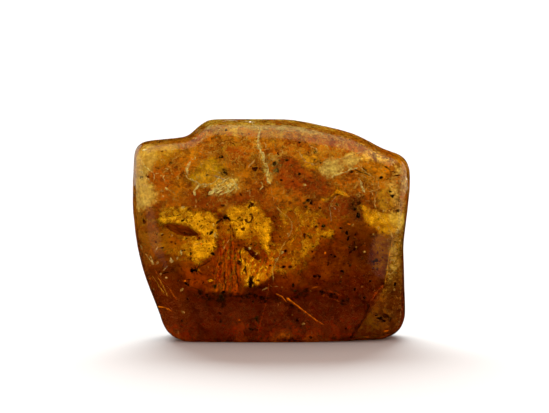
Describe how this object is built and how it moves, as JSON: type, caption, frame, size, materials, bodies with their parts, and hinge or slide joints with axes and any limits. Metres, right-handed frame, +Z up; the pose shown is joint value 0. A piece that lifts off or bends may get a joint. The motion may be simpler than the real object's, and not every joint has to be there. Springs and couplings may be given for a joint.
{
  "type": "insect in amber",
  "caption": "Polished block of golden amber that stands on its flat lower edge, with a tiny ant, a gnat, a slender beetle and scraps of plants sealed inside it.",
  "frame": {"origin": "middle of the block's footprint box, on its flat lower edge", "axes": "+Z up, +X to the right as the front face is seen, front face towards -Y"},
  "size_m": [0.045, 0.018, 0.0356],
  "materials": {
    "amber": "polished clear golden resin, see-through, hazy in its upper part and red-brown towards the foot",
    "insect_black": "dull black insect skin",
    "gnat_brown": "dark brown insect skin and brown wings",
    "beetle_brown": "brown wing cases with a soft shine",
    "leaf_brown": "dry brown leaf",
    "plant_brown": "dark brown plant remains"
  },
  "bodies": {
    "root": {"amber_front": "amber", "amber_back": "amber", "ant": "insect_black", "gnat": "gnat_brown", "beetle": "beetle_brown", "leaf_fragment": "leaf_brown", "curled_stalk": "plant_brown", "twig": "plant_brown", "bark_clump": "plant_brown", "frass_pellet": "plant_brown"}
  },
  "joints": []
}
